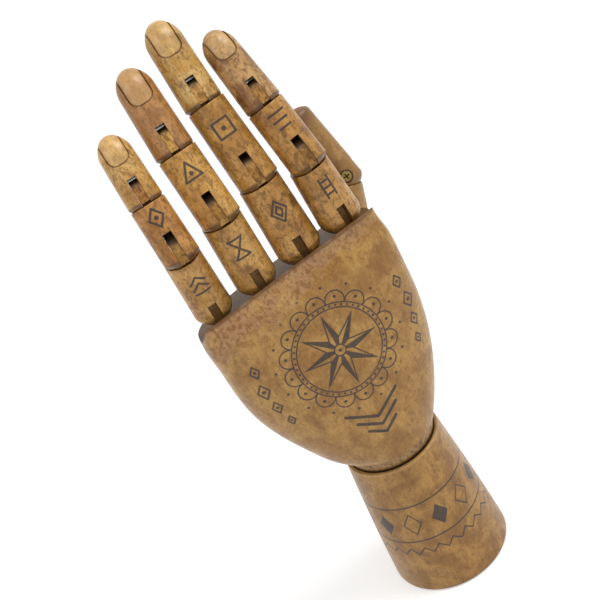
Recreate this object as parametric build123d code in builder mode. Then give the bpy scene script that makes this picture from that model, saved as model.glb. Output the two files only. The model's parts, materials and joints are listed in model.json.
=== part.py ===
from build123d import *
import os
from math import asin, atan2, copysign, cos, degrees, dist, pi, radians, sin, sqrt, tan

os.makedirs("parts", exist_ok=True)

# A jointed wooden left hand that stands on its forearm. Millimetres, +Z up along the forearm, the origin in
# the middle of the foot. The back of the hand faces -Y and the thumb is on the +X side.

# Clearances between pieces, and how far cuts run past a surface
running_clearance = 0.05
glue_clearance = 0.02
seat_clearance = 0.28
slot_clearance = 0.06
overrun = 2.0

# Forearm, a tapered turning that is also the stand
forearm_height = 76.0
forearm_foot_radius = 30.3
forearm_rim_radius = 24.0
forearm_bulge = 0.5
forearm_foot_round = 1.6
forearm_lip = 1.9
forearm_lip_round = 0.6

# Wrist: the ball, and the steel parts that hold it in its cup
ball_centre_rise = 8.5
stud_radius = 2.2
stud_hole_clearance = 0.4
stud_foot_gap = 3.0
fork_gap = 8.4
fork_wall = 2.2
fork_width = 6.0
fork_floor_gap = 0.8
cross_radius = 4.0
cross_side_gap = 0.2
trunnion_radius = 1.6
cross_pin_radius = 1.5
cross_pin_reach = 18.0
cavity_radius = 7.8
cavity_top = 6.0
cavity_flare = 18.0
spring_bore_radius = 9.5
cup_floor = 15.0
spring_radius = 5.4
spring_wire = 1.5
spring_turns = 6
washer_radius = 8.4
washer_thickness = 1.2
nut_across_flats = 8.0
nut_height = 4.0
stud_thread_end = 2.0
plug_thickness = 6.0

# Palm, an egg-shaped body with a trough for the knuckles along its top
palm_height = 107.5
palm_start_rise = 7.5
palm_root_overhang = 1.6
palm_thickness = 48.4
palm_little_side = 3.3
palm_index_side = 5.2
palm_back_wall = 2.9
palm_front_wall = 4.0
palm_lip_drop = 3.4
palm_section_points = 28
knuckle_slant = 5.0
trough_clearance = 0.9

# Finger hinges, alike in all joints
tongue_thickness = 4.0
tongue_end_radius = 4.0
tongue_top_clearance = 0.4
tongue_root_depth = 9.0
tongue_face_inset = 0.25
hinge_pin_radius = 1.0
hinge_pin_inset = 0.7
rim_round = 0.4
knuckle_allowance = 0.3
link_length = 17.0
link_side_room = 1.4
link_edge_room = 0.15
splay_pin_radius = 1.0
splay_pin_back_reach = 9.0
splay_pin_front_reach = 15.0

# Nail, a fine engraved line
nail_line_width = 0.75
nail_line_depth = 0.5

# Knuckle row
row_centre = -4.5
gap_little_ring = 3.7
gap_ring_middle = 2.7
gap_middle_index = 1.6

# Little finger
little_knuckle_radius = 8.9
little_middle_joint_radius = 8.3
little_end_joint_radius = 7.9
little_tip_radius = 7.4
little_proximal_length = 35.3
little_middle_length = 25.4
little_distal_length = 24.7
little_nail_length = 14.0
little_nail_width = 10.0

# Ring finger
ring_knuckle_radius = 9.65
ring_middle_joint_radius = 9.1
ring_end_joint_radius = 8.8
ring_tip_radius = 8.1
ring_proximal_length = 37.5
ring_middle_length = 31.8
ring_distal_length = 31.7
ring_nail_length = 17.2
ring_nail_width = 11.0

# Middle finger
middle_knuckle_radius = 10.3
middle_middle_joint_radius = 9.3
middle_end_joint_radius = 8.6
middle_tip_radius = 8.1
middle_proximal_length = 40.4
middle_middle_length = 36.7
middle_distal_length = 31.6
middle_nail_length = 17.0
middle_nail_width = 11.0

# Index finger
index_knuckle_radius = 10.0
index_middle_joint_radius = 8.8
index_end_joint_radius = 8.4
index_tip_radius = 7.5
index_proximal_length = 33.6
index_middle_length = 29.1
index_distal_length = 29.9
index_nail_length = 14.4
index_nail_width = 10.2

# Thumb
thumb_base_side = 26.8
thumb_base_front = 27.0
thumb_base_drop = 50.0
thumb_base_radius = 9.6
thumb_fold_joint_radius = 8.2
thumb_hinge_radius = 7.2
thumb_tip_radius = 6.6
thumb_metacarpal_length = 25.0
thumb_proximal_length = 28.0
thumb_distal_length = 37.5
thumb_seat_inset = 6.4
thumb_seat_margin = 1.6
hinge_screw_radius = 1.2
hinge_screw_head_radius = 2.4
hinge_screw_head_height = 1.4
hinge_screw_recess = 0.6
hinge_screw_length = 11.4
hinge_screw_head_clearance = 0.25
base_screw_radius = 1.8
base_screw_head_radius = 3.6
base_screw_head_height = 2.2
base_screw_recess = 0.8
base_screw_length = 26.0

# Cross recess of a screw, as shares of its head's radius
cross_length_share = 1.2
cross_width_share = 0.26
cross_depth_share = 0.4

# Angles in degrees at rest: a lean is towards the thumb, a fold towards the palm, a twist about the length
finger_names = ("little", "ring", "middle", "index")
knuckle_leans = (0.0, -0.3, -1.8, -3.0)
knuckle_twists = (0.0, 0.0, 0.0, 6.0)
knuckle_folds = (-4.0, 3.0, 8.0, 4.0)
middle_joint_leans = (-0.8, -2.1, -2.0, -1.7)
middle_joint_folds = (24.0, 17.0, 12.0, 16.0)
end_joint_leans = (0.8, 2.0, 3.0, 0.4)
end_joint_folds = (5.0, 5.0, 5.0, 5.0)
thumb_base_lean = 20.0
thumb_joint_fold = 12.0
thumb_hinge_twist = 78.0
thumb_hinge_fold = 29.0
thumb_hinge_full_fold = 70.0

# Shares of a phalanx's radius: a hinge's rise above the rim that it turns on, a dome's height and crown radius
middle_joint_rise_share = 0.98
end_joint_rise_share = 0.80
thumb_joint_rise_share = 0.66
thumb_hinge_rise_share = 0.43
finger_dome_share = 1.3
finger_crown_share = 0.77
thumb_dome_share = 0.62
thumb_crown_share = 1.32
nail_corner_share = 0.8

# Palm sections: level up the palm's height, sideways place of the middle and half width as shares of those of
# the knuckle row, how far the back and the front bulge from the trough's walls to the full thickness, and how
# square the oval's back and front halves are (2 is an ellipse)
palm_level_shares = (0.018, 0.045, 0.135, 0.263, 0.417, 0.575, 0.734, 0.882, 1.061)
palm_middle_shares = (0.2, 0.35, 0.5, 0.7, 0.92, 0.95, 1.0, 1.0, 1.0)
palm_width_shares = (0.572, 0.617, 0.73, 0.858, 0.96, 0.998, 1.0, 0.985, 0.955)
palm_back_shares = (1.08, 1.09, 1.09, 0.98, 0.84, 0.63, 0.39, 0.14, 0.0)
palm_front_shares = (1.02, 1.04, 1.04, 1.06, 1.02, 0.89, 0.67, 0.34, 0.0)
palm_back_squareness = (2.0, 2.05, 2.1, 2.2, 2.35, 2.8, 4.0, 7.0, 9.0)
palm_front_squareness = (2.0, 2.0, 2.0, 2.05, 2.1, 2.2, 2.4, 3.0, 4.0)

# Values that follow, one entry for each finger in the order of the names
knuckle_radii = (little_knuckle_radius, ring_knuckle_radius, middle_knuckle_radius, index_knuckle_radius)
middle_joint_radii = (
    little_middle_joint_radius,
    ring_middle_joint_radius,
    middle_middle_joint_radius,
    index_middle_joint_radius,
)
end_joint_radii = (
    little_end_joint_radius,
    ring_end_joint_radius,
    middle_end_joint_radius,
    index_end_joint_radius,
)
tip_radii = (little_tip_radius, ring_tip_radius, middle_tip_radius, index_tip_radius)
proximal_lengths = (
    little_proximal_length,
    ring_proximal_length,
    middle_proximal_length,
    index_proximal_length,
)
middle_lengths = (little_middle_length, ring_middle_length, middle_middle_length, index_middle_length)
distal_lengths = (little_distal_length, ring_distal_length, middle_distal_length, index_distal_length)
nail_lengths = (little_nail_length, ring_nail_length, middle_nail_length, index_nail_length)
nail_widths = (little_nail_width, ring_nail_width, middle_nail_width, index_nail_width)
knuckle_gaps = (gap_little_ring, gap_ring_middle, gap_middle_index)

ball_centre = forearm_height + ball_centre_rise
cup_radius = sqrt((forearm_rim_radius - forearm_lip) ** 2 + ball_centre_rise**2)
ball_radius = cup_radius - seat_clearance
palm_start = forearm_height + palm_start_rise
row_height = palm_start + palm_height
row_width = 2 * sum(knuckle_radii) + sum(knuckle_gaps)
trough_radius = max(knuckle_radii) + knuckle_allowance + trough_clearance
slot_end = tongue_end_radius + tongue_top_clearance


def knuckle_place(finger):
    """Where a finger's knuckle is along the row, from the widths and gaps before it."""
    before = 2 * sum(knuckle_radii[:finger]) + sum(knuckle_gaps[:finger])
    return row_centre - row_width / 2 + before + knuckle_radii[finger]


def knuckle_height(x):
    """Height of the knuckle line, which rises towards the thumb."""
    return row_height + (x - row_centre) * tan(radians(knuckle_slant))


def side_plane(frame):
    """The plane that a finger folds in: its x is the frame's Y and its y the frame's Z."""
    return Plane(frame.origin, x_dir=frame.y_dir, z_dir=frame.x_dir)


def back_plane(frame):
    """The plane of the back of the hand: its x is the frame's X and its y the frame's Z."""
    return Plane(frame.origin, x_dir=frame.x_dir, z_dir=-frame.y_dir)


def front_plane(frame):
    """The plane of the palm's front: its x is the frame's X and it faces along the frame's Y."""
    return Plane(frame.origin, x_dir=frame.x_dir, z_dir=frame.y_dir)


def next_frame(frame, length, lean=0, twist=0):
    """The frame of the next hinge along a finger, while that hinge is straight."""
    return Plane(frame.location * Location((0, 0, length), (0, lean, twist)))


def folded(frame, angle):
    """The same hinge's frame with its piece folded towards the palm."""
    return Plane(frame.location * Location((0, 0, 0), (-angle, 0, 0)))


def round_end_radius(radius, rise_share):
    """Radius of the round end that turns on a rim, about a hinge above that rim."""
    return radius * sqrt(1 + rise_share**2)


def turn_phalanx(frame, low_ball, low_radius, high_radius, high_rise_share, length):
    """Turns a phalanx: a round lower end about its hinge, a dish for the next round end on top."""
    dish = round_end_radius(high_radius, high_rise_share) + seat_clearance
    with BuildSketch(side_plane(frame)) as profile:
        with BuildLine():
            low_end = CenterArc((0, 0), low_ball, -90, degrees(asin(low_radius / low_ball)))
            high_end = CenterArc((0, length), dish, -90, degrees(asin(high_radius / dish)))
            Line(low_end @ 1, high_end @ 1)
            Line(low_end @ 0, high_end @ 0)
        make_face()
        fillet(profile.vertices().sort_by(Axis.X)[-2:], rim_round)
    revolve(profile.sketch, axis=Axis(frame.origin, frame.z_dir))


def draw_tip(ball, low_radius, tip_radius, length, dome, crown, inset):
    """Half outline of a last phalanx: its dome is a side arc and a crown arc. An inset moves it inwards."""
    low_end = CenterArc((0, 0), ball, -90, degrees(asin(low_radius / ball)))
    corner = low_end @ 1
    flank = (tip_radius**2 + (dome - crown) ** 2 - crown**2) / (2 * (tip_radius - crown))
    turn = degrees(atan2(abs(dome - crown), abs(flank - tip_radius)))
    side_arc = CenterArc((tip_radius - flank, length - dome), flank - inset, 0, turn)
    crown_arc = CenterArc((0, length - crown), crown - inset, turn, 90 - turn)
    Line((corner.X - inset, corner.Y), side_arc @ 0)
    Line(low_end @ 0, crown_arc @ 1)
    if inset:
        Line(corner, (corner.X - inset, corner.Y))


def turn_last_phalanx(frame, low_radius, rise_share, tip_radius, length, dome, crown):
    """Turns a last phalanx: a round lower end about its hinge, a domed tip."""
    ball = round_end_radius(low_radius, rise_share)
    with BuildSketch(side_plane(frame)) as profile:
        with BuildLine():
            draw_tip(ball, low_radius, tip_radius, length, dome, crown, 0)
        make_face()
        fillet(profile.vertices().sort_by(Axis.X)[-1:], rim_round)
    revolve(profile.sketch, axis=Axis(frame.origin, frame.z_dir))


def cut_hinge_slot(frame, low_ball):
    """Slots a round lower end for the tongue that comes up from below."""
    reach = low_ball + overrun
    with BuildSketch(frame.offset(-reach)) as slot:
        Rectangle(tongue_thickness + 2 * slot_clearance, 2 * reach)
    extrude(slot.sketch, amount=reach + slot_end, mode=Mode.SUBTRACT)


def cut_tongue_root(frame, radius, rise_share):
    """Sinks the blind mortise that holds a tongue's root."""
    depth = radius * rise_share + tongue_root_depth
    with BuildSketch(frame.offset(-depth)) as mortise:
        Rectangle(tongue_thickness + 2 * glue_clearance, 2 * (tongue_end_radius + glue_clearance))
    extrude(mortise.sketch, amount=depth, mode=Mode.SUBTRACT)


def cut_across(frame, hole_radius, reach):
    """Drills through both cheeks of a hinge."""
    with BuildSketch(side_plane(frame)) as hole:
        Circle(hole_radius)
    extrude(hole.sketch, amount=reach, both=True, mode=Mode.SUBTRACT)


def shape_tongue(frame, radius, rise_share, hole_radius):
    """A tongue: a root in the phalanx below, and a rounded plate that fills the slot's back."""
    face = radius - tongue_face_inset
    rim = -radius * rise_share
    shoulder = rim + tongue_face_inset
    root = rim - tongue_root_depth
    with BuildSketch(side_plane(frame)) as plate:
        with BuildLine():
            EllipticalCenterArc((0, 0), face, tongue_end_radius, 90, arc_size=90)
            CenterArc((0, 0), tongue_end_radius, 0, 90)
            Polyline(
                (tongue_end_radius, 0),
                (tongue_end_radius, root),
                (-tongue_end_radius, root),
                (-tongue_end_radius, shoulder),
                (-face, shoulder),
                (-face, 0),
            )
        make_face()
        Circle(hole_radius, mode=Mode.SUBTRACT)
    extrude(plate.sketch, amount=tongue_thickness / 2, both=True)


def shape_cross_pin(frame, radius, reach):
    """A plain pin along the hinge."""
    with BuildSketch(side_plane(frame)) as section:
        Circle(radius)
    extrude(section.sketch, amount=reach, both=True)


def turn_screw(place, head_radius, head_height, shank_radius, length):
    """A countersunk screw with a cross recess: the head's flat face in the place, the shank below it."""
    with BuildSketch(back_plane(place)) as profile:
        with BuildLine():
            Polyline(
                (0, 0),
                (head_radius, 0),
                (shank_radius, -head_height),
                (shank_radius, -length + shank_radius),
                (0, -length),
                (0, 0),
            )
        make_face()
    revolve(profile.sketch, axis=Axis(place.origin, place.z_dir))
    with BuildSketch(place) as cross:
        Rectangle(head_radius * cross_length_share, head_radius * cross_width_share)
        Rectangle(head_radius * cross_width_share, head_radius * cross_length_share)
    extrude(cross.sketch, amount=-head_radius * cross_depth_share, mode=Mode.SUBTRACT)


def cut_screw_seat(place, head_radius, head_height, shank_radius, length, head_clearance, shank_clearance):
    """Sinks the hole of a countersunk screw, open above its head."""
    with BuildSketch(back_plane(place)) as profile:
        with BuildLine():
            Polyline(
                (0, head_radius),
                (head_radius + head_clearance, head_radius),
                (head_radius + head_clearance, 0),
                (shank_radius + shank_clearance, -head_height - head_clearance + shank_clearance),
                (shank_radius + shank_clearance, -length + shank_radius),
                (0, -length),
                (0, head_radius),
            )
        make_face()
    revolve(profile.sketch, axis=Axis(place.origin, place.z_dir), mode=Mode.SUBTRACT)


# Frames of the finger hinges: straight ones carry the tongues, rest ones the phalanges
fingers = range(len(finger_names))
knuckle_frames = []
proximal_frames = []
middle_joint_frames = []
middle_frames = []
end_joint_frames = []
distal_frames = []
for finger in fingers:
    place = knuckle_place(finger)
    knuckle_turn = (0, knuckle_leans[finger], knuckle_twists[finger])
    knuckle_frames.append(Plane(Location((place, 0, knuckle_height(place)), knuckle_turn)))
    proximal_frames.append(folded(knuckle_frames[finger], knuckle_folds[finger]))
    middle_joint_frames.append(
        next_frame(proximal_frames[finger], proximal_lengths[finger], middle_joint_leans[finger])
    )
    middle_frames.append(folded(middle_joint_frames[finger], middle_joint_folds[finger]))
    end_joint_frames.append(
        next_frame(middle_frames[finger], middle_lengths[finger], end_joint_leans[finger])
    )
    distal_frames.append(folded(end_joint_frames[finger], end_joint_folds[finger]))

# Frames of the thumb's hinges
thumb_base_height = row_height - thumb_base_drop
thumb_base_frame = Plane(
    Location((thumb_base_side, thumb_base_front, thumb_base_height), (0, thumb_base_lean, 0))
)
thumb_joint_frame = next_frame(thumb_base_frame, thumb_metacarpal_length)
thumb_proximal_frame = folded(thumb_joint_frame, thumb_joint_fold)
thumb_hinge_frame = next_frame(thumb_proximal_frame, thumb_proximal_length, twist=thumb_hinge_twist)
thumb_distal_frame = folded(thumb_hinge_frame, thumb_hinge_fold)

# Places of the thumb's two screws: their heads' flat faces, just under the surface
thumb_base_ball = thumb_base_radius + knuckle_allowance
base_screw_place = front_plane(thumb_base_frame).offset(thumb_base_ball - base_screw_recess)
hinge_screw_place = Plane(
    thumb_distal_frame.origin, x_dir=thumb_distal_frame.y_dir, z_dir=-thumb_distal_frame.x_dir
).offset(thumb_hinge_radius - hinge_screw_recess)

# Forearm: the outside turned to a gentle bulge, the ball's cup in its top, the spring's bore from below
spring_bore_top = ball_centre - cup_radius - cup_floor
with BuildPart() as forearm:
    with BuildSketch(Plane.XZ) as forearm_profile:
        with BuildLine():
            ThreePointArc(
                (forearm_foot_radius, 0),
                ((forearm_foot_radius + forearm_rim_radius) / 2 + forearm_bulge, forearm_height / 2),
                (forearm_rim_radius, forearm_height),
            )
            Polyline(
                (forearm_rim_radius, forearm_height),
                (0, forearm_height),
                (0, 0),
                (forearm_foot_radius, 0),
            )
        make_face()
        fillet(forearm_profile.vertices().group_by(Axis.Y)[0].sort_by(Axis.X)[-1:], forearm_foot_round)
        fillet(forearm_profile.vertices().group_by(Axis.Y)[-1].sort_by(Axis.X)[-1:], forearm_lip_round)
    revolve(axis=Axis.Z)
    with Locations((0, 0, ball_centre)):
        Sphere(cup_radius, mode=Mode.SUBTRACT)
    with BuildSketch(Plane.XY):
        Circle(spring_bore_radius)
    extrude(amount=spring_bore_top, mode=Mode.SUBTRACT)
    with BuildSketch(Plane.XY):
        Circle(stud_radius + stud_hole_clearance)
    extrude(amount=forearm_height, mode=Mode.SUBTRACT)
forearm.part.label = "forearm"
export_step(forearm.part, "parts/forearm.step")

# Base plug: a disc that closes the bore flush with the foot
with BuildPart() as base_plug:
    with BuildSketch(Plane.XY):
        Circle(spring_bore_radius - glue_clearance)
    extrude(amount=plug_thickness)
base_plug.part.label = "base_plug"
export_step(base_plug.part, "parts/base_plug.step")

# Wrist stud: a rod up through the forearm, with a forked head about the ball's centre
stud_foot = plug_thickness + stud_foot_gap
fork_floor = ball_centre - cross_radius - fork_floor_gap
fork_foot = fork_floor - fork_wall
with BuildPart() as wrist_stud:
    with BuildSketch(Plane.XY.offset(stud_foot)):
        Circle(stud_radius)
    extrude(amount=fork_foot - stud_foot)
    with BuildSketch(Plane.YZ):
        with Locations((0, ball_centre)):
            Circle(fork_width / 2)
        with Locations((0, fork_foot)):
            Rectangle(fork_width, ball_centre - fork_foot, align=(Align.CENTER, Align.MIN))
    extrude(amount=fork_gap / 2 + fork_wall, both=True)
    with BuildSketch(Plane.YZ):
        with Locations((0, fork_floor)):
            Rectangle(2 * fork_width, 2 * (ball_centre - fork_floor), align=(Align.CENTER, Align.MIN))
    extrude(amount=fork_gap / 2, both=True, mode=Mode.SUBTRACT)
    with BuildSketch(Plane.YZ):
        with Locations((0, ball_centre)):
            Circle(trunnion_radius + running_clearance)
    extrude(amount=fork_gap, both=True, mode=Mode.SUBTRACT)
wrist_stud.part.label = "wrist_stud"
export_step(wrist_stud.part, "parts/wrist_stud.step")

# Nut on the stud's lower end
nut_foot = stud_foot + stud_thread_end
with BuildPart() as wrist_nut:
    with BuildSketch(Plane.XY.offset(nut_foot)):
        RegularPolygon(nut_across_flats / 2, 6, major_radius=False)
        Circle(stud_radius + glue_clearance, mode=Mode.SUBTRACT)
    extrude(amount=nut_height)
wrist_nut.part.label = "wrist_nut"
export_step(wrist_nut.part, "parts/wrist_nut.step")

# Washer under the spring
washer_foot = nut_foot + nut_height
with BuildPart() as wrist_washer:
    with BuildSketch(Plane.XY.offset(washer_foot)):
        Circle(washer_radius)
        Circle(stud_radius + glue_clearance, mode=Mode.SUBTRACT)
    extrude(amount=washer_thickness)
wrist_washer.part.label = "wrist_washer"
export_step(wrist_washer.part, "parts/wrist_washer.step")

# Compression spring: half turns that climb from the washer to the roof of the bore
spring_start = washer_foot + washer_thickness + spring_wire / 2
spring_climb = spring_bore_top - seat_clearance - spring_wire / 2 - spring_start
half_turn_climb = spring_climb / (2 * spring_turns)
with BuildPart() as wrist_spring:
    with BuildLine() as spring_route:
        for half_turn in range(2 * spring_turns):
            side = 1 if half_turn % 2 == 0 else -1
            level = spring_start + half_turn * half_turn_climb
            TangentArc(
                (side * spring_radius, 0, level),
                (-side * spring_radius, 0, level + half_turn_climb),
                tangent=(0, side, 0),
            )
    with BuildSketch(Plane((spring_radius, 0, spring_start), x_dir=(1, 0, 0), z_dir=(0, 1, 0))):
        Circle(spring_wire / 2)
    sweep()
wrist_spring.part.label = "wrist_spring"
export_step(wrist_spring.part, "parts/wrist_spring.step")

# Least gap between the spring's turns, from points along its wire
spring_steps = 48
wire_points = []
for step in range(spring_steps * spring_turns + 1):
    turn = 2 * pi * step / spring_steps
    level = spring_start + spring_climb * step / (spring_steps * spring_turns)
    wire_points.append((spring_radius * cos(turn), spring_radius * sin(turn), level))
spring_gap = min(
    dist(first, second)
    for index, first in enumerate(wire_points)
    for second in wire_points[index + spring_steps // 2 :]
)
print("least gap between the spring's turns:", round(spring_gap - spring_wire, 2))

# Wrist cross: a barrel that bends in the fork, and that the palm's pin leans in
with BuildPart() as wrist_cross:
    with BuildSketch(Plane.YZ):
        with Locations((0, ball_centre)):
            Circle(cross_radius)
    extrude(amount=fork_gap / 2 - cross_side_gap, both=True)
    with BuildSketch(Plane.YZ):
        with Locations((0, ball_centre)):
            Circle(trunnion_radius)
    extrude(amount=fork_gap / 2 + fork_wall, both=True)
    with BuildSketch(Plane.XZ):
        with Locations((0, ball_centre)):
            Circle(cross_pin_radius + running_clearance)
    extrude(amount=2 * cross_radius, both=True, mode=Mode.SUBTRACT)
wrist_cross.part.label = "wrist_cross"
export_step(wrist_cross.part, "parts/wrist_cross.step")

# Wrist cross pin, fixed in the palm's ball
with BuildPart() as wrist_cross_pin:
    with BuildSketch(Plane.XZ):
        with Locations((0, ball_centre)):
            Circle(cross_pin_radius)
    extrude(amount=cross_pin_reach, both=True)
wrist_cross_pin.part.label = "wrist_cross_pin"
export_step(wrist_cross_pin.part, "parts/wrist_cross_pin.step")

# Palm: a body through oval sections on top of the ball, then its trough, mortises, holes and thumb seat
row_start = row_centre - row_width / 2 - palm_little_side
row_end = row_centre + row_width / 2 + palm_index_side
palm_middle = (row_start + row_end) / 2
palm_half_width = (row_end - row_start) / 2
back_at_row = trough_radius + palm_back_wall
front_at_row = trough_radius + palm_front_wall
palm_root = sqrt(ball_radius**2 - (ball_centre - palm_start) ** 2) + palm_root_overhang
row_frame = Plane(Location((row_centre, 0, row_height), (0, -knuckle_slant, 0)))


def palm_oval(middle, half_width, back, front, back_squareness, front_squareness):
    """Points around a section: two half ovals with one width, the back's and the front's depth."""
    points = []
    for step in range(palm_section_points):
        turn = 2 * pi * step / palm_section_points
        squareness = front_squareness if sin(turn) > 0 else back_squareness
        across = copysign(abs(cos(turn)) ** (2 / squareness), cos(turn))
        through = copysign(abs(sin(turn)) ** (2 / squareness), sin(turn))
        points.append((middle + half_width * across, (front if through > 0 else back) * through))
    return points


palm_ovals = [(palm_start, palm_oval(0, palm_root, palm_root, palm_root, 2, 2))]
for level, middle, width, back, front, back_squareness, front_squareness in zip(
    palm_level_shares,
    palm_middle_shares,
    palm_width_shares,
    palm_back_shares,
    palm_front_shares,
    palm_back_squareness,
    palm_front_squareness,
):
    oval = palm_oval(
        palm_middle * middle,
        palm_half_width * width,
        back_at_row + (palm_thickness / 2 - back_at_row) * back,
        front_at_row + (palm_thickness / 2 - front_at_row) * front,
        back_squareness,
        front_squareness,
    )
    palm_ovals.append((palm_start + palm_height * level, oval))

with BuildPart() as palm:
    for level, oval in palm_ovals:
        with BuildSketch(Plane.XY.offset(level)):
            with BuildLine():
                Spline(*oval, periodic=True)
            make_face()
    loft()
    with Locations((0, 0, ball_centre)):
        Sphere(ball_radius)
    with BuildSketch(side_plane(row_frame)):
        Circle(trough_radius)
        with Locations((0, -trough_radius)):
            Rectangle(palm_thickness, palm_height, align=(Align.MIN, Align.MIN))
        with Locations((0, -palm_lip_drop)):
            Rectangle(2 * palm_thickness, palm_height, align=(Align.CENTER, Align.MIN))
    extrude(amount=row_width, both=True, mode=Mode.SUBTRACT)
    with BuildSketch(Plane.XZ):
        with BuildLine():
            Polyline(
                (0, ball_centre + cavity_top),
                (cavity_radius, ball_centre + cavity_top),
                (cavity_radius, ball_centre),
                (cavity_radius + ball_radius * tan(radians(cavity_flare)), ball_centre - ball_radius),
                (0, ball_centre - ball_radius),
                (0, ball_centre + cavity_top),
            )
        make_face()
    revolve(axis=Axis.Z, mode=Mode.SUBTRACT)
    with BuildSketch(Plane.XZ.offset(cross_pin_reach)):
        with Locations((0, ball_centre)):
            Circle(cross_pin_radius)
    extrude(amount=-cross_pin_reach - palm_thickness, mode=Mode.SUBTRACT)
    for frame in knuckle_frames:
        with BuildSketch(frame.offset(-link_length - slot_end)):
            Rectangle(tongue_thickness + 2 * link_side_room, 2 * (tongue_end_radius + link_edge_room))
        extrude(amount=link_length + slot_end, mode=Mode.SUBTRACT)
        with BuildSketch(back_plane(frame.offset(-link_length)).offset(splay_pin_back_reach)):
            Circle(splay_pin_radius)
        extrude(amount=-splay_pin_back_reach - palm_thickness, mode=Mode.SUBTRACT)
    with BuildSketch(front_plane(thumb_base_frame).offset(-thumb_seat_inset - seat_clearance)):
        with Locations((0, -thumb_metacarpal_length / 2)):
            SlotCenterToCenter(
                thumb_metacarpal_length,
                2 * (thumb_base_ball + thumb_seat_margin),
                rotation=90,
            )
    extrude(amount=palm_thickness, mode=Mode.SUBTRACT)
    with BuildSketch(base_screw_place):
        Circle(base_screw_radius)
    extrude(amount=-base_screw_length, mode=Mode.SUBTRACT)
palm.part.label = "palm"
export_step(palm.part, "parts/palm.step")

# Splay pins: one through the foot of each finger's knuckle link
with BuildPart() as splay_pins:
    for frame in knuckle_frames:
        with BuildSketch(back_plane(frame.offset(-link_length)).offset(splay_pin_back_reach)):
            Circle(splay_pin_radius)
        extrude(amount=-splay_pin_back_reach - splay_pin_front_reach)
splay_pins.part.label = "splay_pins"
export_step(splay_pins.part, "parts/splay_pins.step")

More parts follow.
